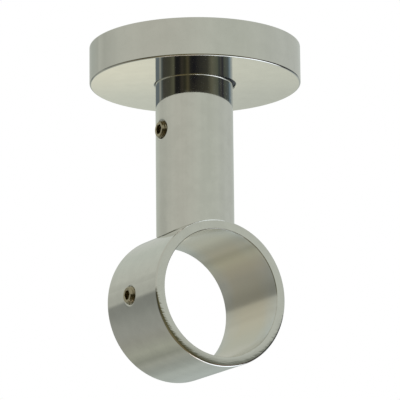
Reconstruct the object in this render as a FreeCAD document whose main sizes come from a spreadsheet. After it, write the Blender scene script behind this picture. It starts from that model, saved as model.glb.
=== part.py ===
"""Ceiling fixed curtain pole bracket: a rose, a stem and a ring, in millimetres.

The ceiling is the plane z = 0 and the bracket hangs below it, with the centre of the rose at
the origin. The pole runs along X through the ring, and both grub screws face -Y.
"""
import FreeCAD, Part
import os
import Sketcher

SIZES = {
    # rose cover: the cup that hides the fixing plate
    "rose_radius": 30.0,
    "rose_height": 11.0,
    "rose_wall": 2.0,
    "rose_edge_chamfer": 0.4,
    "rose_corner_chamfer": 1.0,
    "seat_depth": 0.6,
    "seat_clearance": 0.1,
    "seat_edge_chamfer": 0.15,
    "cover_hole_clearance": 0.4,
    # fixing plate: the disc that is screwed to the ceiling
    "plate_thickness": 3.0,
    "plate_clearance": 0.6,
    "plate_chamfer": 0.4,
    "ceiling_screw_edge_distance": 7.4,
    "ceiling_screw_hole_radius": 2.25,
    "ceiling_screw_head_radius": 4.5,
    # spigot: the bar that the stem slides over
    "spigot_clearance": 0.4,
    "spigot_contact_gap": 0.05,
    "spigot_below_screw": 6.5,
    "spigot_chamfer": 1.0,
    "groove_depth": 1.6,
    "groove_clearance": 0.8,
    # spigot screw: countersunk, from the ceiling side
    "spigot_screw_radius": 2.5,
    "spigot_screw_length": 14.0,
    "spigot_screw_head_radius": 4.6,
    "spigot_screw_socket_width": 3.0,
    "spigot_screw_socket_depth": 1.8,
    "spigot_screw_hole_clearance": 0.25,
    "screw_head_clearance": 0.2,
    "tapping_run_out": 3.0,
    # stem: the tube between the rose and the crown of the ring
    "stem_length": 42.25,
    "stem_radius": 11.0,
    "stem_wall": 3.0,
    "stem_edge_chamfer": 0.3,
    "stem_screw_below_rose": 14.5,
    # ring: the tube that the pole passes through
    "ring_bore_radius": 18.0,
    "ring_wall": 2.75,
    "ring_width": 28.0,
    "ring_screw_offset": 1.0,
    "ring_edge_chamfer": 0.6,
    "ring_bore_chamfer": 0.25,
    # grub screws: one clamps the stem to the spigot, the other clamps the pole
    "grub_radius": 2.5,
    "grub_socket_width": 2.5,
    "grub_socket_depth": 2.0,
    "grub_chamfer": 0.45,
    "grub_point_chamfer": 0.8,
    "grub_tip_gap": 0.05,
    "stem_grub_length": 6.0,
    "ring_grub_length": 3.5,
    "grub_hole_sink": 0.3,
    "drill_start": 1.0,
    "thread_clearance": 0.05,
}

CEILING_SCREW_COUNT = 3
SOCKET_SIDES = 6
SINK_ANGLE = 90.0
QUARTER_TURN = 90.0
FULL_TURN = 360.0
MATCH = 1e-6

# Sizes and places that pieces share, worked out from the driving sizes
CAVITY_RADIUS = "(sizes.rose_radius - sizes.rose_wall)"
CAVITY_DEPTH = "(sizes.rose_height - sizes.rose_wall)"
PLATE_RADIUS = "(%s - sizes.plate_clearance)" % CAVITY_RADIUS
STEM_TOP = "(sizes.rose_height - sizes.seat_depth)"
STEM_BORE = "(sizes.stem_radius - sizes.stem_wall)"
SPIGOT_RADIUS = "(%s - sizes.spigot_clearance)" % STEM_BORE
GROOVE_RADIUS = "(%s - sizes.groove_depth)" % SPIGOT_RADIUS
RING_RADIUS = "(sizes.ring_bore_radius + sizes.ring_wall)"
RING_DROP = "(sizes.rose_height + sizes.stem_length + %s)" % RING_RADIUS
SCREW_DROP = "(sizes.rose_height + sizes.stem_screw_below_rose)"
SPIGOT_END = "(%s + sizes.spigot_below_screw)" % SCREW_DROP
GRUB_HOLE = "(sizes.grub_radius + sizes.thread_clearance)"
GRUB_SINK = "(%s + sizes.grub_hole_sink)" % GRUB_HOLE
# The stem stands off centre, held by its grub screw against one side of the spigot
STEM_SHIFT = "(sizes.spigot_clearance - sizes.spigot_contact_gap)"
SEAT_RADIUS = "(sizes.stem_radius + %s + sizes.seat_clearance)" % STEM_SHIFT
# One grub screw ends at the bottom of the spigot's groove, the other at the ring's bore
STEM_GRUB_TIP = "(%s + sizes.grub_tip_gap)" % GROOVE_RADIUS
RING_GRUB_TIP = "(%s + sizes.ring_bore_radius + sizes.grub_tip_gap)" % STEM_SHIFT

doc = FreeCAD.newDocument("curtain_pole_bracket")
sheet = doc.addObject("Spreadsheet::Sheet", "sizes")
for row, (name, value) in enumerate(SIZES.items(), start=1):
    sheet.set("A%d" % row, name)
    sheet.set("B%d" % row, str(value))
    sheet.setAlias("B%d" % row, name)
ruler = doc.addObject("App::FeaturePython", "ruler")
doc.recompute()


def measure(expression):
    """The number that an expression of the driving sizes comes to."""
    return float(ruler.evalExpression(expression))


def new_body(name):
    """A body with its own label, which also names its file."""
    body = doc.addObject("PartDesign::Body", name)
    body.Label = name
    return body


def place(body, across="0", back="0", up="0"):
    """Bind a body's position to expressions."""
    body.setExpression("Placement.Base.x", across)
    body.setExpression("Placement.Base.y", back)
    body.setExpression("Placement.Base.z", up)


def origin_feature(body, role):
    """One of the body's own origin planes or axes."""
    return [item for item in body.Origin.OriginFeatures if item.Role == role][0]


def attach(feature, body, plane, offset):
    """Lay a sketch or primitive on one of the body's own planes, offset in that plane's frame."""
    feature.AttachmentSupport = [(origin_feature(body, plane), "")]
    feature.MapMode = "FlatFace"
    for axis, expression in offset.items():
        feature.setExpression("AttachmentOffset.Base.%s" % axis, expression)


def circles(body, name, plane, radii, **offset):
    """A sketch of circles about one centre, each bound to its radius."""
    sketch = body.newObject("Sketcher::SketchObject", name)
    attach(sketch, body, plane, offset)
    for radius in radii:
        index = sketch.addGeometry(Part.Circle(), False)
        sketch.addConstraint(Sketcher.Constraint("Coincident", index, 3, -1, 1))
        radius_constraint = sketch.addConstraint(Sketcher.Constraint("Radius", index, 1.0))
        sketch.setExpression("Constraints[%d]" % radius_constraint, radius)
    return sketch


def pad(body, sketch, length, reverse=False, symmetric=False):
    """Add material along the sketch's normal."""
    feature = body.newObject("PartDesign::Pad", sketch.Name + "_pad")
    feature.Profile = sketch
    feature.setExpression("Length", length)
    feature.Reversed = reverse
    if symmetric:
        feature.SideType = "Symmetric"
    doc.recompute()
    return feature


def pocket(body, sketch, length=None, reverse=False):
    """Cut against the sketch's normal, or right through both ways where there is no length."""
    before = body.Shape.Volume
    feature = body.newObject("PartDesign::Pocket", sketch.Name + "_pocket")
    feature.Profile = sketch
    feature.Reversed = reverse
    if length:
        feature.setExpression("Length", length)
    else:
        feature.SideType = "Symmetric"
        feature.Type = "ThroughAll"
    doc.recompute()
    check_cut(body, before, feature)
    return feature


def hole(body, sketch, radius, depth, sink_radius=None, reverse=False, pointed=False):
    """Drill a round hole at the sketch's circle, countersunk where sink_radius is given."""
    before = body.Shape.Volume
    feature = body.newObject("PartDesign::Hole", sketch.Name + "_hole")
    feature.Profile = sketch
    doc.recompute()
    feature.Reversed = reverse
    feature.DepthType = "Dimension"
    feature.DrillPoint = "Angled" if pointed else "Flat"
    feature.setExpression("Diameter", "2 * %s" % radius)
    feature.setExpression("Depth", depth)
    if sink_radius:
        feature.HoleCutType = "Countersink"
        feature.HoleCutCustomValues = True
        feature.HoleCutCountersinkAngle = SINK_ANGLE
        feature.setExpression("HoleCutDiameter", "2 * %s" % sink_radius)
    doc.recompute()
    check_cut(body, before, feature)
    return feature


def check_cut(body, before, feature):
    """A cut that points away from the solid removes nothing."""
    if not body.Shape.Volume < before:
        raise RuntimeError("nothing was cut by " + feature.Name)


def rims(feature, axis, radius, *levels):
    """Names of the feature's circular edges of one radius at the levels given along an axis."""
    found = []
    for number, edge in enumerate(feature.Shape.Edges, start=1):
        if edge.Curve.TypeId != "Part::GeomCircle":
            continue
        along = getattr(edge.Curve.Center, axis)
        fits = abs(edge.Curve.Radius - measure(radius)) < MATCH
        if fits and min(abs(along - measure(level)) for level in levels) < MATCH:
            found.append("Edge%d" % number)
    if not found:
        raise RuntimeError("no rim of radius %s on %s" % (radius, feature.Name))
    return found


def grub_screw_way(body, name, radius, **offset):
    """Drill a grub screw's hole into a tube's -Y side, from clear of the wall to the tube's axis."""
    start = "%s + sizes.drill_start" % radius
    sketch = circles(body, name, "XZ_Plane", [GRUB_HOLE], z=start, **offset)
    return hole(body, sketch, GRUB_HOLE, start, sink_radius="(%s + sizes.drill_start)" % GRUB_SINK)


def chamfer(body, name, feature, edges, amount):
    """Chamfer edges of the last feature by a driving size."""
    eased = body.newObject("PartDesign::Chamfer", name)
    eased.Base = (feature, edges)
    eased.setExpression("Size", "sizes." + amount)
    doc.recompute()
    return eased


def socket(body, name, width, depth):
    """Sink a hexagonal driving socket into the screw's end at z = 0."""
    before = body.Shape.Volume
    prism = body.newObject("PartDesign::SubtractivePrism", name)
    attach(prism, body, "XY_Plane", {"z": "-sizes.%s" % depth})
    prism.Polygon = SOCKET_SIDES
    prism.setExpression("Circumradius", "sizes.%s / 2 / cos(180 deg / %d)" % (width, SOCKET_SIDES))
    prism.setExpression("Height", "sizes.%s" % depth)
    doc.recompute()
    check_cut(body, before, prism)
    return prism


def make_rose_cover():
    """Cup with its rim on the ceiling and a shallow seat for the stem in its underside."""
    body = new_body("rose_cover")
    outline = circles(body, "rose_outline", "XY_Plane", ["sizes.rose_radius"])
    pad(body, outline, "sizes.rose_height", reverse=True)
    cavity = circles(body, "rose_cavity", "XY_Plane", [CAVITY_RADIUS])
    pocket(body, cavity, CAVITY_DEPTH)
    seat = circles(body, "rose_seat", "XY_Plane", [SEAT_RADIUS], z="-sizes.rose_height")
    pocket(body, seat, "sizes.seat_depth", reverse=True)
    way_radius = "%s + sizes.cover_hole_clearance" % SPIGOT_RADIUS
    way = circles(body, "rose_spigot_way", "XY_Plane", [way_radius])
    bored = pocket(body, way, "sizes.rose_height")
    outer_rim = rims(bored, "z", "sizes.rose_radius", "-sizes.rose_height")
    edged = chamfer(body, "rose_edge", bored, outer_rim, "rose_edge_chamfer")
    seat_rim = rims(edged, "z", SEAT_RADIUS, "-sizes.rose_height")
    seated = chamfer(body, "rose_seat_edge", edged, seat_rim, "seat_edge_chamfer")
    corner = rims(seated, "z", CAVITY_RADIUS, "-" + CAVITY_DEPTH)
    chamfer(body, "rose_corner", seated, corner, "rose_corner_chamfer")
    return body


def make_fixing_plate():
    """Disc against the ceiling, drilled for the ceiling screws and for the spigot screw."""
    body = new_body("fixing_plate")
    outline = circles(body, "plate_outline", "XY_Plane", [PLATE_RADIUS])
    pad(body, outline, "sizes.plate_thickness", reverse=True)
    screw_way = "(sizes.spigot_screw_radius + sizes.spigot_screw_hole_clearance)"
    screw_sink = "(sizes.spigot_screw_head_radius + sizes.screw_head_clearance)"
    middle = circles(body, "plate_middle", "XY_Plane", [screw_way])
    hole(body, middle, screw_way, "sizes.plate_thickness", sink_radius=screw_sink)
    ceiling_hole = circles(
        body, "plate_ceiling_hole", "XY_Plane", ["sizes.ceiling_screw_hole_radius"],
        x="%s - sizes.ceiling_screw_edge_distance" % PLATE_RADIUS, z="-sizes.plate_thickness")
    drilled = hole(
        body, ceiling_hole, "sizes.ceiling_screw_hole_radius", "sizes.plate_thickness",
        sink_radius="sizes.ceiling_screw_head_radius", reverse=True)
    before = body.Shape.Volume
    pattern = body.newObject("PartDesign::PolarPattern", "plate_ceiling_holes")
    pattern.Originals = [drilled]
    pattern.Axis = (origin_feature(body, "Z_Axis"), [""])
    pattern.Angle = FULL_TURN
    pattern.Occurrences = CEILING_SCREW_COUNT
    body.Tip = pattern
    doc.recompute()
    check_cut(body, before, pattern)
    plate_rims = rims(pattern, "z", PLATE_RADIUS, "0", "-sizes.plate_thickness")
    chamfer(body, "plate_edges", pattern, plate_rims, "plate_chamfer")
    return body


def make_spigot():
    """Turned bar below the plate, tapped at the top and grooved where the grub screw bites."""
    body = new_body("spigot")
    bar = circles(body, "spigot_bar", "XY_Plane", [SPIGOT_RADIUS], z="-sizes.plate_thickness")
    turned = pad(body, bar, "%s - sizes.plate_thickness" % SPIGOT_END, reverse=True)
    lower_rim = rims(turned, "z", SPIGOT_RADIUS, "-" + SPIGOT_END)
    chamfer(body, "spigot_lead_in", turned, lower_rim, "spigot_chamfer")
    groove_width = "(2 * sizes.grub_radius + sizes.groove_clearance)"
    groove_top = "%s / 2 - %s" % (groove_width, SCREW_DROP)
    groove_radii = [GROOVE_RADIUS, "sizes.stem_radius"]
    groove = circles(body, "spigot_groove", "XY_Plane", groove_radii, z=groove_top)
    pocket(body, groove, groove_width)
    tap_radius = "(sizes.spigot_screw_radius + sizes.thread_clearance)"
    tapping = circles(body, "spigot_tapping", "XY_Plane", [tap_radius], z="-sizes.plate_thickness")
    tap_depth = "sizes.spigot_screw_length - sizes.plate_thickness + sizes.tapping_run_out"
    hole(body, tapping, tap_radius, tap_depth, pointed=True)
    return body


def make_spigot_screw():
    """Countersunk socket screw, its head flush with the plate's upper face."""
    body = new_body("spigot_screw")
    shank = circles(body, "spigot_screw_shank", "XY_Plane", ["sizes.spigot_screw_radius"])
    pad(body, shank, "sizes.spigot_screw_length", reverse=True)
    head_height = "(sizes.spigot_screw_head_radius - sizes.spigot_screw_radius)"
    head = body.newObject("PartDesign::AdditiveCone", "spigot_screw_head")
    attach(head, body, "XY_Plane", {"z": "-" + head_height})
    head.setExpression("Radius1", "sizes.spigot_screw_radius")
    head.setExpression("Radius2", "sizes.spigot_screw_head_radius")
    head.setExpression("Height", head_height)
    doc.recompute()
    socket(body, "spigot_screw_socket", "spigot_screw_socket_width", "spigot_screw_socket_depth")
    return body


def make_stem():
    """Tube from the seat in the rose down to a saddle that fits the ring."""
    body = new_body("stem")
    tube_radii = ["sizes.stem_radius", STEM_BORE]
    tube = circles(body, "stem_tube", "XY_Plane", tube_radii, z="-" + STEM_TOP)
    drawn = pad(body, tube, "%s - %s" % (RING_DROP, STEM_TOP), reverse=True)
    top_rim = rims(drawn, "z", "sizes.stem_radius", "-" + STEM_TOP)
    chamfer(body, "stem_top_edge", drawn, top_rim, "stem_edge_chamfer")
    saddle = circles(body, "stem_saddle", "YZ_Plane", [RING_RADIUS], y="-" + RING_DROP)
    pocket(body, saddle)
    grub_screw_way(body, "stem_screw_way", "sizes.stem_radius", y="-" + SCREW_DROP)
    place(body, back="-" + STEM_SHIFT)
    return body


def make_ring():
    """Tube offcut along X for the pole, drilled in its -Y side just off the middle."""
    body = new_body("ring")
    tube_radii = [RING_RADIUS, "sizes.ring_bore_radius"]
    tube = circles(body, "ring_tube", "YZ_Plane", tube_radii)
    drawn = pad(body, tube, "sizes.ring_width", symmetric=True)
    ends = ["-sizes.ring_width / 2", "sizes.ring_width / 2"]
    edged = chamfer(
        body, "ring_edges", drawn, rims(drawn, "x", RING_RADIUS, *ends), "ring_edge_chamfer")
    bore_rims = rims(edged, "x", "sizes.ring_bore_radius", *ends)
    chamfer(body, "ring_bore_edges", edged, bore_rims, "ring_bore_chamfer")
    grub_screw_way(body, "ring_screw_way", RING_RADIUS, x="-sizes.ring_screw_offset")
    place(body, back="-" + STEM_SHIFT, up="-" + RING_DROP)
    return body


def make_grub_screw(name, length, tip, drop, across="0"):
    """Socket set screw that faces -Y, with its tip at a distance from the rose's axis."""
    body = new_body(name)
    outline = circles(body, name + "_outline", "XY_Plane", ["sizes.grub_radius"])
    rod = pad(body, outline, length, reverse=True)
    head_rim = rims(rod, "z", "sizes.grub_radius", "0")
    headed = chamfer(body, name + "_head", rod, head_rim, "grub_chamfer")
    point_rim = rims(headed, "z", "sizes.grub_radius", "-" + length)
    chamfer(body, name + "_point", headed, point_rim, "grub_point_chamfer")
    socket(body, name + "_socket", "grub_socket_width", "grub_socket_depth")
    body.Placement.Rotation = FreeCAD.Rotation(FreeCAD.Vector(1, 0, 0), QUARTER_TURN)
    place(body, across=across, back="-(%s + %s)" % (tip, length), up="-" + drop)
    return body


bodies = [
    make_rose_cover(),
    make_fixing_plate(),
    make_spigot(),
    make_spigot_screw(),
    make_stem(),
    make_ring(),
    make_grub_screw("stem_grub_screw", "sizes.stem_grub_length", STEM_GRUB_TIP, SCREW_DROP),
    make_grub_screw(
        "ring_grub_screw", "sizes.ring_grub_length", RING_GRUB_TIP, RING_DROP,
        across="-sizes.ring_screw_offset"),
]
doc.recompute()

for item in doc.Objects:
    if "Invalid" in item.State or "Error" in item.State:
        raise RuntimeError("%s is in state %s" % (item.Name, item.State))
for body in bodies:
    if body.Shape.isNull() or not body.Shape.isValid():
        raise RuntimeError("%s has no valid shape" % body.Label)

os.makedirs("parts", exist_ok=True)
for body in bodies:
    body.Shape.exportStep("parts/%s.step" % body.Label)
    box = body.Shape.BoundBox
    spans = (box.XMin, box.XMax, box.YMin, box.YMax, box.ZMin, box.ZMax)
    print(body.Label, "%.1f mm3" % body.Shape.Volume, " ".join("%.2f" % span for span in spans))
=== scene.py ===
"""Dressed model of a ceiling fixed curtain pole bracket: pieces, materials, light and camera.

Sizes are written in millimetres and turned into metres where a mesh is made. The ceiling is the
plane z = 0, the centre of the rose is the origin, and the pole runs along X through the ring.
"""
import math

import bpy
import numpy as np
from mathutils import Matrix, Vector


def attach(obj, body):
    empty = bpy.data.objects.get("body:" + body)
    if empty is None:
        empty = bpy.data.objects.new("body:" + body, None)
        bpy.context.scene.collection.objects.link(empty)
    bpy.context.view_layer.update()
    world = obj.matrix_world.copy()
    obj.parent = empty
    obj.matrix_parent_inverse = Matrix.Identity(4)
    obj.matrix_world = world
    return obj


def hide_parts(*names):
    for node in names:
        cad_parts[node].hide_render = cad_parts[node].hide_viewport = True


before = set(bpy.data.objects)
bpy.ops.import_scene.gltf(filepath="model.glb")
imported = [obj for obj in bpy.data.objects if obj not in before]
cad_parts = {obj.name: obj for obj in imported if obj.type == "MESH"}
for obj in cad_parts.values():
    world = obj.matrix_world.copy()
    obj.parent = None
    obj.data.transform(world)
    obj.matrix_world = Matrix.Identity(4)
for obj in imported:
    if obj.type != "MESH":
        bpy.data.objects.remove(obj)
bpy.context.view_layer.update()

MM = 0.001
TAU = 2 * math.pi

# Sizes of the bracket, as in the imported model
ROSE_RADIUS = 30.0
ROSE_HEIGHT = 11.0
ROSE_WALL = 2.0
SEAT_RADIUS = 11.45
SEAT_DEPTH = 0.6
WAY_RADIUS = 8.0
STEM_RADIUS = 11.0
STEM_BORE = 8.0
STEM_TOP = ROSE_HEIGHT - SEAT_DEPTH
RING_DROP = 74.0
RING_RADIUS = 20.75
RING_BORE = 18.0
RING_HALF_WIDTH = 14.0
SHIFT = -0.35
STEM_SCREW_DROP = 25.5
SCREW_RADIUS = 2.5
HOLE_RADIUS = 2.55
STEM_SCREW_FACE = -12.05
RING_SCREW_FACE = -21.9
RING_SCREW_ACROSS = -1.0
STEM_SCREW_LENGTH = 6.0
RING_SCREW_LENGTH = 3.5
SCREW_HEAD_CHAMFER = 0.45
SCREW_POINT_CHAMFER = 0.8
SOCKET_WIDTH = 2.5
SOCKET_DEPTH = 2.0

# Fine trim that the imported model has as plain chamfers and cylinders, or leaves out
ROSE_EDGE = 0.5
ROSE_LIP = 0.2
CAVITY_CORNER = 1.0
SEAT_EDGE = 0.5
RING_EDGE = 0.6
BORE_EDGE = 0.2
CROWN_START = 18.3
CROWN_LEAN = 6.5
CROWN_POWER = 1.5
STEM_EDGE = 0.3
STEM_LIP = 0.2
STEM_FOOT = 0.22
SINK_RADIUS = 2.7
SINK_SOFTNESS = 0.18
SINK_REACH = 4.6
THREAD_PITCH = 0.8
THREAD_DEPTH = 0.4
THREAD_STEEPNESS = 2.6
THREAD_CREST = 0.2
SOCKET_BEVEL = 0.1
SOCKET_POINT = 0.4
CUP_DEPTH = 0.3

# Fineness of the meshes
WELDS_PER_MM = 1e4
SLOPE_STEP = 1e-4
ROSE_CELLS = 288
RING_CELLS = 176
STEM_CELLS = 96
SCREW_CELLS = 72
THREAD_ROWS = 12
HALF_CELLS = 8
HOLE_RINGS = 12
HOLE_CROWDING = 1.7


# Meshes whose corners carry exact normals, so that polished metal reflects without ripples

class Skin:
    """Points in millimetres, welded where they meet, and faces with a normal at each corner."""

    def __init__(self):
        self.points = []
        self.places = {}
        self.faces = []
        self.normals = []

    def point(self, xyz):
        """Number of the point at a place, which is made if there is none yet."""
        key = tuple(int(round(c * WELDS_PER_MM)) for c in xyz)
        if key not in self.places:
            self.places[key] = len(self.points)
            self.points.append(tuple(float(c) for c in xyz))
        return self.places[key]

    def face(self, corners, normals):
        """One face, turned so that its winding agrees with its normals."""
        kept, bends = [], []
        for index, normal in zip((self.point(c) for c in corners), normals):
            if index not in kept:
                kept.append(index)
                bends.append(normal)
        if len(kept) < 3:
            return
        a, b, c = (np.array(self.points[kept[k]]) for k in (0, 1, 2))
        flat = np.cross(b - a, c - a)
        if len(kept) > 3:
            flat = flat + np.cross(c - a, np.array(self.points[kept[3]]) - a)
        if np.dot(flat, np.mean(bends, axis=0)) < 0:
            kept.reverse()
            bends.reverse()
        self.faces.append(kept)
        self.normals.extend(tuple(n) for n in bends)

    def grid(self, points, normals):
        """Quads over a grid of points."""
        for i in range(len(points) - 1):
            for j in range(len(points[0]) - 1):
                spots = ((i, j), (i + 1, j), (i + 1, j + 1), (i, j + 1))
                self.face([points[a][b] for a, b in spots], [normals[a][b] for a, b in spots])

    def build(self, name, place=Matrix.Identity(4)):
        """A mesh object in metres, with the placement worked into its points."""
        mesh = bpy.data.meshes.new(name)
        turn = place.to_3x3()
        points = [place @ Vector(p) * MM for p in self.points]
        mesh.from_pydata(points, [], self.faces)
        if mesh.validate():
            raise RuntimeError("the mesh of %s has faults" % name)
        mesh.polygons.foreach_set("use_smooth", [True] * len(mesh.polygons))
        mesh.normals_split_custom_set([(turn @ Vector(n)).normalized() for n in self.normals])
        piece = bpy.data.objects.new(name, mesh)
        bpy.context.scene.collection.objects.link(piece)
        return piece


def spread(start, end, steps):
    return [start + (end - start) * k / steps for k in range(steps + 1)]


def line(start, end, steps=1):
    """Profile run in (radius, height): points, and normals to the right of the way it runs."""
    (r0, z0), (r1, z1) = start, end
    length = math.hypot(r1 - r0, z1 - z0)
    normal = ((z1 - z0) / length, -(r1 - r0) / length)
    return [((r0 + (r1 - r0) * s, z0 + (z1 - z0) * s), normal) for s in spread(0, 1, steps)]


def arc(centre, radius, start, end, steps=6, hollow=False):
    """Profile run round a centre, with normals away from it, or towards it where it is hollow."""
    run = []
    for degrees in spread(start, end, steps):
        turn = math.radians(degrees)
        way = (math.cos(turn), math.sin(turn))
        spot = (centre[0] + radius * way[0], centre[1] + radius * way[1])
        run.append((spot, (-way[0], -way[1]) if hollow else way))
    return run


def lathe(skin, runs, segments, axis="z"):
    """Turn profile runs about an axis."""
    for run in runs:
        points, normals = [], []
        for (radius, height), (out, up) in run:
            row, bends = [], []
            for k in range(segments + 1):
                c, s = math.cos(TAU * k / segments), math.sin(TAU * k / segments)
                if axis == "z":
                    row.append((radius * c, radius * s, height))
                    bends.append((out * c, out * s, up))
                else:
                    row.append((height, radius * c, radius * s))
                    bends.append((up, out * c, out * s))
            points.append(row)
            normals.append(bends)
        skin.grid(points, normals)


def surface(skin, shape, table, outward):
    """Quads over a table of parameters, with normals worked out from the shape's slopes."""
    points, normals = [], []
    for row in table:
        spots, bends = [], []
        for u, v in row:
            along = np.subtract(shape(u + SLOPE_STEP, v), shape(u - SLOPE_STEP, v))
            across = np.subtract(shape(u, v + SLOPE_STEP), shape(u, v - SLOPE_STEP))
            normal = np.cross(along, across)
            normal /= np.linalg.norm(normal)
            here = shape(u, v)
            if np.dot(normal, outward(here)) < 0:
                normal = -normal
            spots.append(here)
            bends.append(tuple(normal))
        points.append(spots)
        normals.append(bends)
    skin.grid(points, normals)


# Round walls with one hole through them

def hole_patch(pitch, radius):
    """Parameters from a round hole's rim out to the square of cells that it stands in.

    Parameters are lengths from the hole's centre along the two ways over the surface, and the
    rim is round as seen along the hole's axis, on a round wall of the given radius.
    """
    border = []
    for side in range(4):
        for k in range(-HALF_CELLS, HALF_CELLS):
            u, v = HALF_CELLS, k
            for _ in range(side):
                u, v = -v, u
            border.append((u * pitch, v * pitch))
    border.append(border[0])
    table = []
    for level in range(HOLE_RINGS + 1):
        share = (level / HOLE_RINGS) ** HOLE_CROWDING
        row = []
        for u, v in border:
            turn = math.atan2(v, u)
            rim_u = radius * math.asin(HOLE_RADIUS * math.cos(turn) / radius)
            rim_v = HOLE_RADIUS * math.sin(turn)
            row.append((rim_u + (u - rim_u) * share, rim_v + (v - rim_v) * share))
        table.append(row)
    return table


def pierced_tube(skin, wall, cells, lows, highs, sink=None, inward=False):
    """Round wall with a grub screw's hole through it, whose rim may be sunk. Gives the rim.

    wall(turn, height, depth) gives a point, where turn 0 and height 0 are the hole's centre and
    depth is how far the point is pushed in along the hole's axis. lows and highs give, for one
    turn and half the height of the square of cells that holds the hole, the heights of the rows
    below and above that square. sink gives the depth at a distance from the hole's axis.
    """
    radius = wall.radius
    pitch = TAU * radius / cells
    side = HALF_CELLS * pitch
    sign = -1 if inward else 1

    def shape(u, v):
        turn = u / radius
        depth = 0
        if sink and math.cos(turn) > 0:
            depth = sink(math.hypot(radius * math.sin(turn), v))
        return wall(turn, v, depth)

    def outward(spot):
        return [sign * c for c in wall.normal(spot)]

    def columns(first, last):
        return [k * pitch for k in range(first, last + 1)]

    middle = columns(-HALF_CELLS, HALF_CELLS)
    for heights in (lows, highs):
        rows = [[(u, v) for v in heights(u / radius, side)]
                for u in columns(-cells // 2, cells // 2)]
        surface(skin, shape, rows, outward)
    for span in (columns(-cells // 2, -HALF_CELLS), columns(HALF_CELLS, cells // 2)):
        surface(skin, shape, [[(u, v) for v in middle] for u in span], outward)
    table = hole_patch(pitch, radius)
    surface(skin, shape, table, outward)
    return [shape(u, v) for u, v in table[0]]


class Upright:
    """Wall of a tube along Z, whose hole is on its -Y side at a height."""

    def __init__(self, radius, height):
        self.radius = radius
        self.height = height

    def __call__(self, turn, up, depth):
        return (self.radius * math.sin(turn), depth - self.radius * math.cos(turn),
                self.height + up)

    def normal(self, spot):
        return (spot[0] / self.radius, spot[1] / self.radius, 0)


class Lengthwise:
    """Wall of a tube along X, whose hole is on its -Y side at a place along it."""

    def __init__(self, radius, middle):
        self.radius = radius
        self.middle = middle

    def __call__(self, turn, along, depth):
        return (self.middle + along, depth - self.radius * math.cos(turn),
                self.radius * math.sin(turn))

    def normal(self, spot):
        return (0, spot[1] / self.radius, spot[2] / self.radius)


def smooth_step(value):
    value = min(max(value, 0.0), 1.0)
    return value * value * (3 - 2 * value)


def sunk(distance):
    """Depth of the countersink, softened by polishing, at a distance from the hole's axis."""
    fade = smooth_step(SINK_REACH - distance)
    return fade * SINK_SOFTNESS * math.log1p(math.exp((SINK_RADIUS - distance) / SINK_SOFTNESS))


def hole_wall(skin, outer_rim, inner_rim, axis):
    """Wall of a hole between its two rims, with normals towards its axis along Y."""
    rows, normals = [], []
    for share in spread(0, 1, 3):
        row = [tuple(np.add(a, np.subtract(b, a) * share)) for a, b in zip(outer_rim, inner_rim)]
        away = [np.subtract(spot, axis) * (1, 0, 1) for spot in row]
        rows.append(row)
        normals.append([tuple(-w / np.linalg.norm(w)) for w in away])
    skin.grid(rows, normals)


# The pieces

def make_rose():
    skin = Skin()
    floor = -(ROSE_HEIGHT - ROSE_WALL)
    bottom = -ROSE_HEIGHT
    seat = -STEM_TOP
    inner = ROSE_RADIUS - ROSE_WALL
    mouth = SEAT_RADIUS + SEAT_EDGE
    lathe(skin, [
        line((inner, 0), (inner, floor + CAVITY_CORNER)),
        line((ROSE_RADIUS, bottom + ROSE_EDGE), (ROSE_RADIUS, -ROSE_LIP), 3),
        arc((ROSE_RADIUS - ROSE_LIP, -ROSE_LIP), ROSE_LIP, 0, 90, 4),
        line((ROSE_RADIUS - ROSE_LIP, 0), (inner, 0)),
        arc((ROSE_RADIUS - ROSE_EDGE, bottom + ROSE_EDGE), ROSE_EDGE, -90, 0, 10),
        line((mouth, bottom), (ROSE_RADIUS - ROSE_EDGE, bottom), 4),
        arc((mouth, bottom + SEAT_EDGE), SEAT_EDGE, 180, 270, 10),
        line((SEAT_RADIUS, seat), (SEAT_RADIUS, bottom + SEAT_EDGE)),
        line((WAY_RADIUS, seat), (SEAT_RADIUS, seat)),
        line((WAY_RADIUS, floor), (WAY_RADIUS, seat)),
        line((inner - CAVITY_CORNER, floor), (WAY_RADIUS, floor)),
        arc((inner - CAVITY_CORNER, floor + CAVITY_CORNER), CAVITY_CORNER, 0, -90, hollow=True),
    ], ROSE_CELLS)
    return skin.build("rose_cover_dressed")


def crowned_end():
    """Profile of the ring's end from its bore to its barrel, and how far the barrel reaches.

    Polishing has crowned the end: it leans more and more towards its rounded outer edge.
    """
    lean = math.radians(CROWN_LEAN)
    brow = RING_RADIUS - RING_EDGE * (1 - math.sin(lean))
    start = RING_BORE + BORE_EDGE
    crown, drop, last = [], 0.0, start
    for radius in spread(start, brow, 12):
        share = max(0.0, (radius - CROWN_START) / (brow - CROWN_START))
        tilt = lean * share ** CROWN_POWER
        drop += math.tan(tilt) * (radius - last)
        last = radius
        crown.append(((radius, RING_HALF_WIDTH - drop), (math.sin(tilt), math.cos(tilt))))
    reach = RING_HALF_WIDTH - drop - RING_EDGE * math.cos(lean)
    edge = arc((RING_RADIUS - RING_EDGE, reach), RING_EDGE, 0, 90 - CROWN_LEAN, 10)
    return crown, edge, reach


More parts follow.
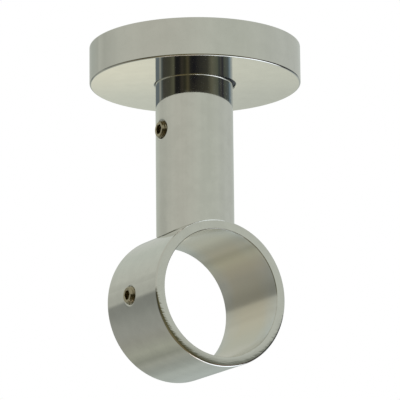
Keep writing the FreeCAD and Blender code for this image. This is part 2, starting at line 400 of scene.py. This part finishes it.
def make_ring():
    skin = Skin()
    crown, edge, reach = crowned_end()
    hole = RING_SCREW_ACROSS
    bore_reach = RING_HALF_WIDTH - BORE_EDGE
    outer_rim = pierced_tube(
        skin, Lengthwise(RING_RADIUS, hole), RING_CELLS,
        lambda turn, side: spread(-reach - hole, -side, 6),
        lambda turn, side: spread(side, reach - hole, 6), sunk)
    inner_rim = pierced_tube(
        skin, Lengthwise(RING_BORE, hole), RING_CELLS,
        lambda turn, side: spread(-bore_reach - hole, -side, 6),
        lambda turn, side: spread(side, bore_reach - hole, 6), inward=True)
    hole_wall(skin, outer_rim, inner_rim, (hole, 0, 0))
    bore_edge = arc((RING_BORE + BORE_EDGE, bore_reach), BORE_EDGE, 90, 180)
    for way in (1, -1):
        turned = [[((radius, way * height), (out, way * up))
                   for (radius, height), (out, up) in run] for run in (edge, crown, bore_edge)]
        lathe(skin, turned, RING_CELLS, axis="x")
    return skin.build("ring_dressed", Matrix.Translation((0, SHIFT, -RING_DROP)))


def saddle(radius, turn):
    """Height at which a point of the stem meets the ring."""
    return -RING_DROP + math.sqrt(RING_RADIUS ** 2 - (radius * math.cos(turn)) ** 2)


def make_stem():
    skin = Skin()
    top = -STEM_TOP
    height = -STEM_SCREW_DROP
    outer_rim = pierced_tube(
        skin, Upright(STEM_RADIUS, height), STEM_CELLS,
        lambda turn, side: spread(saddle(STEM_RADIUS, turn) + STEM_FOOT - height, -side, 20),
        lambda turn, side: spread(side, top - STEM_EDGE - height, 8), sunk)
    inner_rim = pierced_tube(
        skin, Upright(STEM_BORE, height), STEM_CELLS,
        lambda turn, side: spread(saddle(STEM_BORE, turn) - height, -side, 12),
        lambda turn, side: spread(side, top - STEM_LIP - height, 4), inward=True)
    hole_wall(skin, outer_rim, inner_rim, (0, 0, height))
    lathe(skin, [
        arc((STEM_RADIUS - STEM_EDGE, top - STEM_EDGE), STEM_EDGE, 0, 90),
        arc((STEM_BORE + STEM_LIP, top - STEM_LIP), STEM_LIP, 90, 180, 4),
        line((STEM_RADIUS - STEM_EDGE, top), (STEM_BORE + STEM_LIP, top)),
    ], STEM_CELLS)

    def seat(turn, radius):
        return (radius * math.sin(turn), -radius * math.cos(turn), saddle(radius, turn))

    turns = spread(-math.pi, math.pi, STEM_CELLS)
    radii = spread(STEM_RADIUS - STEM_FOOT, STEM_BORE, 4)
    surface(skin, seat, [[(t, r) for r in radii] for t in turns], lambda spot: (0, 0, -1))
    points, normals = [], []
    for t in turns:
        x, y, z = seat(t, STEM_RADIUS)
        points.append([(x, y, z + STEM_FOOT), seat(t, STEM_RADIUS - STEM_FOOT)])
        normals.append([(math.sin(t), -math.cos(t), -1)] * 2)
    skin.grid(points, normals)
    return skin.build("stem_dressed", Matrix.Translation((0, SHIFT, 0)))


def make_grub_screw(name, length, face, drop, across=0.0):
    """Set screw along -Y with a rolled thread, a chamfered head and a hexagonal socket."""
    skin = Skin()
    turns = spread(0, TAU, SCREW_CELLS)

    def thread(turn, height):
        share = (height / THREAD_PITCH - turn / TAU) % 1.0
        flank = min(max(abs(share - 0.5) * THREAD_STEEPNESS - THREAD_CREST, 0.0), 1.0)
        radius = min(SCREW_RADIUS - THREAD_DEPTH * flank,
                     SCREW_RADIUS - SCREW_HEAD_CHAMFER - height,
                     SCREW_RADIUS - SCREW_POINT_CHAMFER + height + length)
        return (radius * math.cos(turn), radius * math.sin(turn), height)

    rows = int(round(length / THREAD_PITCH * THREAD_ROWS))
    table = [[(turn, height) for turn in turns] for height in spread(0, -length, rows)]
    surface(skin, thread, table, lambda spot: (spot[0], spot[1], 0))

    def circle(radius, height):
        return [(radius * math.cos(t), radius * math.sin(t), height) for t in turns]

    def hexagon(extra, height):
        corners = []
        for t in turns:
            within = math.radians(math.degrees(t) % 60 - 30)
            radius = SOCKET_WIDTH / 2 / math.cos(within) + extra
            corners.append((radius * math.cos(t), radius * math.sin(t), height))
        return corners

    mouth = hexagon(SOCKET_BEVEL, 0)
    top = hexagon(0, -SOCKET_BEVEL)
    bottom = hexagon(0, -SOCKET_DEPTH)
    flat = [(0, 0, 1)] * len(turns)
    bevel = [(-math.cos(t), -math.sin(t), 1) for t in turns]
    skin.grid([circle(SCREW_RADIUS - SCREW_HEAD_CHAMFER, 0), mouth], [flat, flat])
    skin.grid([mouth, top], [bevel, bevel])
    for k in range(SCREW_CELLS):
        middle = math.radians(math.floor((k + 0.5) / SCREW_CELLS * 6) * 60 + 30)
        wall = (-math.cos(middle), -math.sin(middle), 0)
        skin.face([top[k], bottom[k], bottom[k + 1], top[k + 1]], [wall] * 4)
    floor = (0, 0, -SOCKET_DEPTH - SOCKET_POINT)
    foot = circle(SCREW_RADIUS - SCREW_POINT_CHAMFER, -length)
    cup = (0, 0, -length + CUP_DEPTH)
    for k in range(SCREW_CELLS):
        skin.face([bottom[k], bottom[k + 1], floor], [(0, 0, 1)] * 3)
        skin.face([foot[k], foot[k + 1], cup], [(0, 0, -1)] * 3)
    place = Matrix.Translation((across, face, -drop)) @ Matrix.Rotation(math.radians(90), 4, "X")
    return skin.build(name, place)


# Materials, all worked out from the surface's own place in millimetres

BLACK = (0.0, 0.0, 0.0, 1)
WHITE = (1.0, 1.0, 1.0, 1)


class Nodes:
    """A material's or world's nodes, added by kind and joined as they are made."""

    def __init__(self, owner):
        owner.use_nodes = True
        self.tree = owner.node_tree
        self.tree.nodes.clear()

    def add(self, kind, settings=None, **inputs):
        """A node, whose inputs are named, or numbered as i0, i1 and so on."""
        node = self.tree.nodes.new("ShaderNode" + kind)
        for key, value in (settings or {}).items():
            setattr(node, key, value)
        for key, value in inputs.items():
            numbered = key[0] == "i" and key[1:].isdigit()
            socket = node.inputs[int(key[1:]) if numbered else key.replace("_", " ")]
            if isinstance(value, bpy.types.NodeSocket):
                self.tree.links.new(value, socket)
            else:
                socket.default_value = value
        return node

    def maths(self, operation, *values):
        """A number worked out from numbers or sockets."""
        inputs = {"i%d" % k: value for k, value in enumerate(values)}
        return self.add("Math", {"operation": operation}, **inputs).outputs[0]

    def vectors(self, operation, *values):
        """A vector, or a length, worked out from vectors or sockets."""
        inputs = {"i%d" % k: value for k, value in enumerate(values)}
        outputs = self.add("VectorMath", {"operation": operation}, **inputs).outputs
        return outputs["Value" if operation == "LENGTH" else "Vector"]

    def split(self, vector):
        """The three parts of a vector."""
        return self.add("SeparateXYZ", Vector=vector).outputs

    def place(self):
        """The surface's own place in metres."""
        return self.add("TexCoord").outputs["Object"]

    def span(self, value, low, high, out_low, out_high):
        """A value moved from one range to another, smoothly and within its ends."""
        settings = {"interpolation_type": "SMOOTHSTEP"}
        node = self.add("MapRange", settings, i0=value, i1=low, i2=high, i3=out_low, i4=out_high)
        return node.outputs[0]

    def ramp(self, value, stops, interpolation="EASE"):
        """A colour ramp with (position, colour) stops."""
        node = self.add("ValToRGB", Fac=value)
        node.color_ramp.interpolation = interpolation
        points = node.color_ramp.elements
        while len(points) > 1:
            points.remove(points[-1])
        points[0].position, points[0].color = stops[0][0], (*stops[0][1], 1)
        for position, colour in stops[1:]:
            points.new(position).color = (*colour, 1)
        return node.outputs[0]

    def mix(self, factor, first, second, blend="MIX"):
        """Two colours mixed."""
        settings = {"data_type": "RGBA", "blend_type": blend}
        return self.add("Mix", settings, i0=factor, i6=first, i7=second).outputs[2]

    def noise(self, place, scale, detail, roughness=0.5):
        node = self.add("TexNoise", Vector=place, Scale=scale, Detail=detail, Roughness=roughness)
        return node.outputs["Fac"]

    def glowing(self, colour, cover=None):
        """Finish with a surface that gives light, and is clear where cover is 0."""
        shader = self.add("Emission", Color=colour, Strength=1.0)
        if cover is not None:
            clear = self.add("BsdfTransparent")
            shader = self.add("MixShader", i0=cover, i1=clear.outputs[0], i2=shader.outputs[0])
        self.add("OutputMaterial", Surface=shader.outputs[0])


def grey(share):
    return (share, share, share)


def turned_place(nodes, centre, axis):
    """The place in millimetres from a centre, and one whose noise runs in fine rings.

    The rings run round the axis without a seam, and the noise changes fast over them and
    slowly along them.
    """
    over_rings, along_rings = 2.2, 3.0
    moved = nodes.vectors("MULTIPLY_ADD", nodes.place(), (1 / MM,) * 3,
                          tuple(-c for c in centre))
    parts = nodes.split(moved)
    a, b = [parts[k] for k in range(3) if k != axis]
    radius = nodes.maths("SQRT", nodes.maths("ADD", nodes.maths("MULTIPLY", a, a),
                                             nodes.maths("MULTIPLY", b, b)))
    safe = nodes.maths("MAXIMUM", radius, 0.01)
    fine = nodes.maths("MULTIPLY", nodes.maths("ADD", radius, parts[axis]), over_rings)
    side = nodes.maths("MULTIPLY", nodes.maths("DIVIDE", a, safe), along_rings)
    other = nodes.maths("MULTIPLY", nodes.maths("DIVIDE", b, safe), along_rings)
    return moved, nodes.add("CombineXYZ", X=fine, Y=side, Z=other).outputs[0]


def painted_bore_light(nodes, colour, place, axis, warm_light, reach, cool_shade, fall):
    """Colour of the plating in a tube's bore, with a painted light in its middle and a painted
    shade low in it.

    warm_light is the tint of the painted light that shows within a wandering reach of the tube's
    middle.
    cool_shade is the tint of the painted shade that grows from the height of the bore's centre
    down to the distance fall below it.
    """
    low = nodes.span(nodes.split(place)[2], -fall, 0.0, 1.0, 0.0)
    # Painted shade: the bore turns cooler and darker from its centre's height downward.
    base = nodes.mix(low, colour, (*cool_shade, 1), "MULTIPLY")
    # Painted light: a warmer, creamier tint within a wandering reach of the bore's middle.
    wander = nodes.maths("MULTIPLY_ADD", nodes.noise(place, 0.12, 2.0), 10.0, -5.0)
    depth = nodes.maths("ABSOLUTE", nodes.maths("ADD", nodes.split(place)[axis], wander))
    tone = nodes.mix(low, (*warm_light, 1), (*cool_shade, 1), "MULTIPLY")
    return nodes.mix(nodes.span(depth, reach * 0.25, reach, 1.0, 0.0), base, tone)


def belt_marks(nodes, place, inner, outer, height):
    """Height of the marks that a polishing belt leaves, which grow between two radii."""
    radius = nodes.vectors("LENGTH", nodes.vectors("MULTIPLY", place, (0, 1, 1)))
    belt = nodes.vectors("MULTIPLY", place, (0.5, 0.35, 1.5))
    return nodes.maths("MULTIPLY", nodes.noise(belt, 1.0, 3.0, 0.6),
                       nodes.span(radius, inner, outer, 0.0, height))


def metal(name, tint, dull, shine, marks, bump, haze, centre=(0, 0, 0), axis=2, scuff=None,
          bore_light_and_shade=None):
    """Plated metal with turning marks, hairlines, smudges and slightly uneven colour.

    tint is its colour, shine and dull are the ends of its roughness, marks is how much of the
    roughness comes from the turning marks, bump is their height in millimetres and haze is how
    much the colour varies. scuff holds what belt_marks needs after the place, and
    bore_light_and_shade what painted_bore_light needs after the axis: the tints and reaches of a
    painted light and a painted shade in a bore.
    """
    material = bpy.data.materials.new(name)
    nodes = Nodes(material)
    place, rings = turned_place(nodes, centre, axis)
    fine = nodes.noise(rings, 1.6, 4.0, 0.65)
    smudge = nodes.noise(place, 0.07, 3.0, 0.6)
    cloud = nodes.noise(place, 0.25, 3.0, 0.6)
    hair = nodes.span(nodes.noise(rings, 9.0, 2.0), 0.66, 0.78, 0.0, 1.0)
    blend = nodes.maths("ADD", nodes.maths("MULTIPLY", fine, marks),
                        nodes.maths("MULTIPLY", smudge, 1.0 - marks))
    rough = nodes.span(blend, 0.32, 0.68, shine, dull)
    rough = nodes.maths("ADD", rough, nodes.maths("MULTIPLY", hair, 0.05))
    low = tuple(c * (1 - haze) for c in tint)
    high = tuple(min(c * (1 + haze * 0.6), 1.0) for c in tint)
    colour = nodes.mix(nodes.span(cloud, 0.35, 0.65, 0.0, 1.0), (*low, 1), (*high, 1))
    # In a bore the colour carries a painted light in its middle and a painted shade low in it.
    if bore_light_and_shade:
        colour = painted_bore_light(nodes, colour, place, axis, *bore_light_and_shade)
    relief = nodes.maths("ADD", fine, nodes.maths("MULTIPLY", hair, -0.6))
    relief = nodes.maths("MULTIPLY", relief, bump)
    if scuff:
        relief = nodes.maths("ADD", relief, belt_marks(nodes, place, *scuff))
    bumped = nodes.add("Bump", Strength=1.0, Distance=MM, Height=relief).outputs[0]
    shader = nodes.add("BsdfPrincipled", Base_Color=colour, Metallic=1.0, Roughness=rough,
                       Normal=bumped)
    nodes.add("OutputMaterial", Surface=shader.outputs[0])
    return material


RING_CENTRE = (0, SHIFT, -RING_DROP)
CHROME = (0.80, 0.80, 0.77)
SCUFF = (18.9, 20.2, 0.035)
# Tints and reaches of the painted light in the bore's middle and of the painted shade low in it.
BORE_LIGHT_AND_SHADE = ((0.85, 0.79, 0.67), 17.0, (0.87, 0.89, 0.93), 12.0)
chrome_rose = metal("chrome_rose", CHROME, 0.08, 0.03, 0.6, 0.0001, 0.02)
chrome_stem = metal("chrome_stem", CHROME, 0.07, 0.03, 0.5, 0.00015, 0.03, (0, SHIFT, 0))
chrome_ring = metal("chrome_ring", CHROME, 0.08, 0.03, 0.5, 0.00015, 0.03, RING_CENTRE, 0)
chrome_end = metal("chrome_end", CHROME, 0.10, 0.04, 0.5, 0.00015, 0.03, RING_CENTRE, 0,
                   scuff=SCUFF)
# The bore's colour has a painted light in its middle and a painted shade low in it.
chrome_bore = metal("chrome_bore", (0.82, 0.83, 0.81), 0.20, 0.14, 0.2, 0.0001, 0.03,
                    RING_CENTRE, 0, bore_light_and_shade=BORE_LIGHT_AND_SHADE)
# Painted shade: a dark finish on the seat round the top of the stem, where the gap lies in shade.
seat_shade = metal("painted_seat_shade", (0.11, 0.12, 0.14), 0.6, 0.45, 0.7, 0.003, 0.2)
nickel = metal("nickel_screw", (0.48, 0.43, 0.31), 0.24, 0.10, 0.5, 0.001, 0.15)
zinc = metal("zinc_plate", (0.62, 0.63, 0.65), 0.42, 0.26, 0.8, 0.002, 0.10)


def dress(piece, materials, pick=None):
    """Give a piece its body and its materials, one for each face that pick sorts."""
    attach(piece, "root")
    for material in materials:
        piece.data.materials.append(material)
    if pick:
        for face in piece.data.polygons:
            face.material_index = pick(Vector(face.center) / MM)
    return piece


BARREL_REACH = crowned_end()[2]
FACE_MARGIN = 0.01
SEAT_MARGIN = 0.1


def ring_zone(spot):
    """1 for the faces of the ring's bore, 2 for its ends and their edges, 0 for its barrel."""
    distance = math.hypot(spot.y - SHIFT, spot.z + RING_DROP)
    if distance < RING_BORE + FACE_MARGIN and abs(spot.x) < RING_HALF_WIDTH - BORE_EDGE:
        return 1
    return 2 if abs(spot.x) > BARREL_REACH else 0


def seat_zone(spot):
    """1 for the seat, which gets a dark painted shade, 0 for the rest of the rose."""
    within = math.hypot(spot.x, spot.y) < SEAT_RADIUS + FACE_MARGIN
    return int(within and spot.z > SEAT_MARGIN - ROSE_HEIGHT)


# The seat of the rose gets the dark painted shade.
rose = dress(make_rose(), [chrome_rose, seat_shade], seat_zone)
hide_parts("rose_cover")
stem = dress(make_stem(), [chrome_stem])
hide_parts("stem")
ring = dress(make_ring(), [chrome_ring, chrome_bore, chrome_end], ring_zone)
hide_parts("ring")
stem_screw = dress(
    make_grub_screw("stem_grub_screw_dressed", STEM_SCREW_LENGTH, STEM_SCREW_FACE,
                    STEM_SCREW_DROP), [nickel])
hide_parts("stem_grub_screw")
ring_screw = dress(
    make_grub_screw("ring_grub_screw_dressed", RING_SCREW_LENGTH, RING_SCREW_FACE, RING_DROP,
                    RING_SCREW_ACROSS), [nickel])
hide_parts("ring_grub_screw")
for node, material in (("fixing_plate", zinc), ("spigot", zinc), ("spigot_screw", nickel)):
    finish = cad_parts[node].data.materials
    finish.clear()
    finish.append(material)


# Camera, in metres, as fitted to the photograph's outlines

CAMERA_PLACE = (0.74154, -0.43555, -0.25754)
CAMERA_RIGHT = (0.5055, 0.862775, -0.009462)
CAMERA_UP = (0.212004, -0.113568, 0.970648)
CAMERA_AZIMUTH = math.atan2(CAMERA_PLACE[1], CAMERA_PLACE[0])
PHOTO_WIDTH = 400
FOCAL_PIXELS = 3145.13
SENSOR = 36.0

lens = bpy.data.cameras.new("camera")
lens.sensor_width = SENSOR
lens.lens = FOCAL_PIXELS / PHOTO_WIDTH * SENSOR
lens.clip_start = 0.01
lens.clip_end = 100
camera = bpy.data.objects.new("camera", lens)
bpy.context.scene.collection.objects.link(camera)
right, up = Vector(CAMERA_RIGHT), Vector(CAMERA_UP)
camera.matrix_world = Matrix.Translation(CAMERA_PLACE) @ Matrix(
    (right, up, right.cross(up))).transposed().to_4x4()
bpy.context.scene.camera = camera


# Floor, light tent and card, in metres

FLOOR_DROP = 1.3
FLOOR_HALF = 8.0
TENT_RADIUS = 1.1
TENT_HEIGHT = -0.05
TENT_COLUMNS = 96
TENT_ROWS = 48
CARD_DISTANCE = 0.14
CARD_HALF_WIDTH = 0.052
CARD_TOP = -0.030
CARD_BOTTOM = -0.070

# What the tent shows, as (bearing in degrees, colour), where bearing 0 is towards the camera and
# positive to its right, and a single number is a share. It stands for a plain room: pale walls
# over a darker part with a table, a shelf and a strip of shade, and a lit floor at their foot.
WALLS = (
    (-180, (0.56, 0.59, 0.55)), (-170, (0.56, 0.58, 0.53)), (-150, (0.53, 0.56, 0.50)),
    (-120, (0.51, 0.52, 0.46)), (-40, (0.51, 0.51, 0.45)), (40, (0.52, 0.54, 0.48)),
    (120, (0.52, 0.54, 0.50)), (180, (0.56, 0.59, 0.55)))
WALL_DUSK = ((-180, 0.0), (-160, 0.05), (-140, 0.1), (-120, 0.14), (-95, 0.13), (-70, 0.0))
WALL_VEIL = (
    (-180, 0.1), (-150, 0.19), (-131, 0.19), (-127, 0.08), (-120, 0.08), (-115, 0.12),
    (-90, 0.0), (160, 0.0), (180, 0.1))
ROOM = (
    (-180, (0.45, 0.49, 0.46)), (-165, (0.42, 0.45, 0.41)), (-152, (0.37, 0.38, 0.33)),
    (-146, (0.30, 0.31, 0.26)), (-137, (0.40, 0.41, 0.34)), (-127, (0.345, 0.345, 0.30)),
    (-122, (0.34, 0.345, 0.31)), (-117, (0.29, 0.30, 0.27)), (-112, (0.10, 0.12, 0.12)),
    (-103, (0.06, 0.06, 0.05)), (-76, (0.07, 0.07, 0.05)), (-63, (0.12, 0.12, 0.08)),
    (-56, (0.015, 0.015, 0.015)), (-44, (0.015, 0.015, 0.015)), (-36, (0.045, 0.04, 0.03)),
    (-26, (0.03, 0.03, 0.02)), (-18, (0.08, 0.07, 0.04)), (-10, (0.02, 0.02, 0.02)),
    (0, (0.01, 0.01, 0.015)), (40, (0.05, 0.05, 0.04)), (55, (0.14, 0.14, 0.10)),
    (74, (0.11, 0.12, 0.09)), (81, (0.05, 0.06, 0.06)), (87, (0.08, 0.08, 0.07)),
    (94, (0.03, 0.03, 0.04)), (104, (0.10, 0.11, 0.09)), (124, (0.10, 0.12, 0.12)),
    (134, (0.22, 0.29, 0.34)), (150, (0.45, 0.48, 0.46)), (180, (0.45, 0.49, 0.46)))
ROOM_SHADE = ((-176, 0.0), (-166, 0.16), (-160, 0.16), (-152, 0.0))
ROOM_FRONT = ((-116, 0.0), (-104, 1.0), (138, 1.0), (150, 0.0))
ROOM_STRIP = ((-168, 0.0), (-158, 1.0), (-128, 1.0), (-123, 0.0))
STRIP_COLOUR = (0.16, 0.19, 0.205, 1)
TABLE = (
    (-112, (0.30, 0.30, 0.25)), (-96, (0.24, 0.23, 0.18)), (-84, (0.17, 0.16, 0.12)),
    (-70, (0.14, 0.13, 0.10)), (-58, (0.04, 0.04, 0.03)), (-54, (0.04, 0.04, 0.03)),
    (-40, (0.14, 0.13, 0.065)), (20, (0.14, 0.13, 0.065)), (34, (0.07, 0.06, 0.03)),
    (40, (0.015, 0.015, 0.01)), (55, (0.015, 0.015, 0.01)), (60, (0.22, 0.12, 0.08)),
    (74, (0.20, 0.10, 0.08)), (82, (0.06, 0.04, 0.03)), (142, (0.05, 0.04, 0.04)))
TABLE_FOOT = (0.17, 0.14, 0.075, 1)
SHELF = (
    (-112, (0.24, 0.24, 0.20)), (-96, (0.16, 0.16, 0.13)), (-71, (0.13, 0.13, 0.10)),
    (-59, (0.02, 0.02, 0.015)), (-32, (0.04, 0.035, 0.02)), (-20, (0.12, 0.11, 0.055)),
    (24, (0.12, 0.11, 0.055)), (54, (0.10, 0.095, 0.05)), (61, (0.19, 0.20, 0.17)),
    (74, (0.19, 0.20, 0.17)), (80, (0.02, 0.02, 0.02)), (142, (0.03, 0.03, 0.035)))
LIT_FLOOR = (
    (-180, (1.5, 1.35, 1.3)), (-20, (1.5, 1.35, 1.3)), (46, (1.6, 1.7, 1.8)),
    (52, (0.6, 0.62, 0.62)), (82, (0.6, 0.62, 0.62)), (88, (1.7, 1.85, 2.0)),
    (160, (1.5, 1.55, 1.65)), (180, (1.5, 1.35, 1.3)))

# Heights round the tent as (bearing, degrees above the horizon): where the walls begin, half the
# height over which they do, and where the lit floor ends
SKYLINE = (
    (-180, 11), (-150, 6), (-119.2, 6.3), (-117.9, 7.1), (-100, 7), (0, 6), (60, 6), (80, 4),
    (150, 4), (180, 11))
SKYLINE_BLUR = (
    (-180, 5), (-145, 1.2), (-128, 2), (-119, 1.8), (-100, 3), (-50, 4), (20, 4), (50, 3),
    (76, 3), (84, 1.2), (140, 1.2), (180, 5))
SHORE = (
    (-180, -63), (-142, -70), (-110, -71), (-80, -81), (-5, -83), (20, -81), (36, -71),
    (60, -60), (72, -53), (82, -45), (100, -42), (125, -37), (145, -37), (156, -53),
    (180, -63))


def stage_mesh(name, points, faces, material, place=Matrix.Identity(4)):
    mesh = bpy.data.meshes.new(name)
    mesh.from_pydata(points, [], faces)
    mesh.polygons.foreach_set("use_smooth", [True] * len(mesh.polygons))
    mesh.materials.append(material)
    piece = bpy.data.objects.new(name, mesh)
    bpy.context.scene.collection.objects.link(piece)
    piece.matrix_world = place
    return piece


def reflected_only(piece):
    """Hide a stage piece from all but reflections: it lights nothing and casts no shadow."""
    piece.visible_camera = False
    piece.visible_diffuse = False
    piece.visible_shadow = False
    piece.visible_transmission = False


def make_floor():
    material = bpy.data.materials.new("floor")
    nodes = Nodes(material)
    tone = nodes.mix(nodes.noise(nodes.place(), 1.2, 3.0), (0.80, 0.80, 0.79, 1),
                     (0.83, 0.83, 0.82, 1))
    shader = nodes.add("BsdfPrincipled", Base_Color=tone, Roughness=0.9)
    nodes.add("OutputMaterial", Surface=shader.outputs[0])
    corners = ((-1, -1), (1, -1), (1, 1), (-1, 1))
    points = [(FLOOR_HALF * x, FLOOR_HALF * y, -FLOOR_DROP) for x, y in corners]
    stage_mesh("floor", points, [(0, 1, 2, 3)], material)


class Tent(Nodes):
    """The tent's nodes, which know the bearing and the rise of each place on it."""

    def __init__(self, owner):
        super().__init__(owner)
        self.way = self.vectors("NORMALIZE", self.place())
        parts = self.split(self.way)
        turn = self.maths("ARCTAN2", parts[1], parts[0])
        self.bearing = self.maths("MULTIPLY_ADD", turn, 1 / TAU, 0.5)
        self.rise = self.maths("MULTIPLY", self.maths("ARCSINE", parts[2]), 360 / TAU)

    def around(self, stops, interpolation="LINEAR"):
        """A colour or share that changes with the bearing."""
        return self.ramp(self.bearing, [
            (degrees / 360 + 0.5, value if isinstance(value, tuple) else grey(value))
            for degrees, value in stops], interpolation)

    def height(self, stops, low, reach):
        """A height in degrees that changes with the bearing, from low to low + reach."""
        shares = [(degrees, (height - low) / reach) for degrees, height in stops]
        return self.maths("MULTIPLY_ADD", self.around(shares), reach, low)

    def below(self, full, none):
        """1 below one rise and 0 above another."""
        return self.span(self.rise, full, none, 1.0, 0.0)

    def above(self, none, full):
        """0 below one rise and 1 above another."""
        return self.span(self.rise, none, full, 0.0, 1.0)

    def paint(self, base, colour, stops, *masks):
        """Lay a colour over the base by the shares in stops, times the masks."""
        share = self.around(stops)
        for mask in masks:
            share = self.maths("MULTIPLY", share, mask)
        return self.mix(share, base, colour)


def tent_glow(nodes):
    """Colour that the tent gives off at each place."""
    haze = nodes.span(nodes.rise, -12.0, 3.0, 1.0, 0.86)
    room = nodes.mix(1.0, nodes.around(ROOM), haze, "MULTIPLY")
    room = nodes.paint(room, BLACK, ROOM_SHADE, nodes.below(-30.0, -25.0))
    table = nodes.mix(nodes.below(-42.0, -36.0), nodes.around(TABLE), TABLE_FOOT)
    room = nodes.paint(room, table, ROOM_FRONT, nodes.below(-19.5, -18.0))
    room = nodes.paint(room, nodes.around(SHELF), ROOM_FRONT, nodes.above(-13.5, -12.5))
    room = nodes.paint(room, STRIP_COLOUR, ROOM_STRIP, nodes.above(-19.0, -17.5),
                       nodes.below(-11.5, -10.0))
    walls = nodes.around(WALLS, "EASE")
    walls = nodes.paint(walls, BLACK, WALL_DUSK, nodes.below(9.0, 21.0))
    walls = nodes.paint(walls, BLACK, WALL_VEIL, nodes.above(16.8, 18.2),
                        nodes.below(20.0, 23.0))
    over_skyline = nodes.maths("SUBTRACT", nodes.rise, nodes.height(SKYLINE, -20.0, 40.0))
    blur = nodes.height(SKYLINE_BLUR, 0.0, 10.0)
    share = nodes.span(over_skyline, nodes.maths("MULTIPLY", blur, -1.0), blur, 0.0, 1.0)
    glow = nodes.mix(share, room, walls)
    over_shore = nodes.maths("SUBTRACT", nodes.rise, nodes.height(SHORE, -90.0, 60.0))
    glow = nodes.mix(nodes.span(over_shore, -3.0, 3.0, 1.0, 0.0), glow, nodes.around(LIT_FLOOR))
    cloth = nodes.ramp(nodes.noise(nodes.way, 2.4, 3.0), [(0.3, grey(0.94)), (0.7, grey(1.0))])
    return nodes.mix(1.0, glow, cloth, "MULTIPLY")


def make_tent():
    """Ball of light round the bracket, which only the metal's reflections see."""
    material = bpy.data.materials.new("tent")
    nodes = Tent(material)
    nodes.glowing(tent_glow(nodes))
    points, faces = [], []
    for lift in spread(-math.pi / 2, math.pi / 2, TENT_ROWS):
        for j in range(TENT_COLUMNS):
            side = TAU * j / TENT_COLUMNS
            points.append((TENT_RADIUS * math.cos(lift) * math.cos(side),
                           TENT_RADIUS * math.cos(lift) * math.sin(side),
                           TENT_RADIUS * math.sin(lift)))
    for i in range(TENT_ROWS):
        low, high = i * TENT_COLUMNS, (i + 1) * TENT_COLUMNS
        for j in range(TENT_COLUMNS):
            k = (j + 1) % TENT_COLUMNS
            faces.append((low + j, low + k, high + k, high + j))
    place = Matrix.Translation((0, 0, TENT_HEIGHT)) @ Matrix.Rotation(CAMERA_AZIMUTH, 4, "Z")
    reflected_only(stage_mesh("tent", points, faces, material, place))


def make_card():
    """Cream card low behind the bracket, which the underside of the rose reflects."""
    soft_top, soft_bottom, soft_end = 0.006, 0.004, 0.012
    warm_full, warm_none = -0.0568, -0.045
    turning = 0.031
    material = bpy.data.materials.new("card")
    nodes = Nodes(material)
    parts = nodes.split(nodes.place())
    across, height = parts[0], parts[2]
    warm = nodes.span(height, warm_full, warm_none, 1.0, 0.0)
    left = nodes.mix(warm, (0.60, 0.62, 0.54, 1), (0.76, 0.75, 0.62, 1))
    right = nodes.mix(warm, (0.52, 0.54, 0.48, 1), (0.61, 0.625, 0.54, 1))
    tone = nodes.mix(nodes.span(across, -turning, turning, 0.0, 1.0), left, right)
    rows = nodes.maths("MULTIPLY",
                       nodes.span(height, CARD_BOTTOM, CARD_BOTTOM + soft_bottom, 0.0, 1.0),
                       nodes.span(height, CARD_TOP - soft_top, CARD_TOP, 1.0, 0.0))
    ends = nodes.span(nodes.maths("ABSOLUTE", across), CARD_HALF_WIDTH - soft_end,
                      CARD_HALF_WIDTH, 1.0, 0.0)
    nodes.glowing(tone, nodes.maths("MULTIPLY", rows, ends))
    corners = ((-1, CARD_BOTTOM), (1, CARD_BOTTOM), (1, CARD_TOP), (-1, CARD_TOP))
    points = [(CARD_HALF_WIDTH * x, CARD_DISTANCE, z) for x, z in corners]
    place = Matrix.Rotation(CAMERA_AZIMUTH + math.radians(90), 4, "Z")
    reflected_only(stage_mesh("card", points, [(0, 1, 2, 3)], material, place))


def make_world():
    """White for the camera, for reflections and through glass, and a softer fill for the rest."""
    world = bpy.data.worlds.new("studio")
    bpy.context.scene.world = world
    nodes = Nodes(world)
    path = nodes.add("LightPath").outputs
    seen = nodes.maths("MAXIMUM", path["Is Camera Ray"], path["Is Glossy Ray"])
    seen = nodes.maths("MAXIMUM", seen, path["Is Transmission Ray"])
    white = nodes.add("Background", Color=WHITE, Strength=1.0)
    fill = nodes.add("Background", Color=WHITE, Strength=0.75)
    both = nodes.add("MixShader", i0=seen, i1=fill.outputs[0], i2=white.outputs[0])
    nodes.add("OutputWorld", Surface=both.outputs[0])


def make_lamp():
    """Soft key light from above, which the metal doesn't reflect."""
    sun = bpy.data.lights.new("key", "SUN")
    sun.energy = 1.0
    sun.angle = math.radians(20)
    lamp = bpy.data.objects.new("key", sun)
    lamp.rotation_euler = (math.radians(35), 0, math.radians(40))
    lamp.visible_glossy = False
    bpy.context.scene.collection.objects.link(lamp)


make_floor()
make_tent()
make_card()
make_world()
make_lamp()

settings = bpy.context.scene.view_settings
settings.view_transform = "Standard"
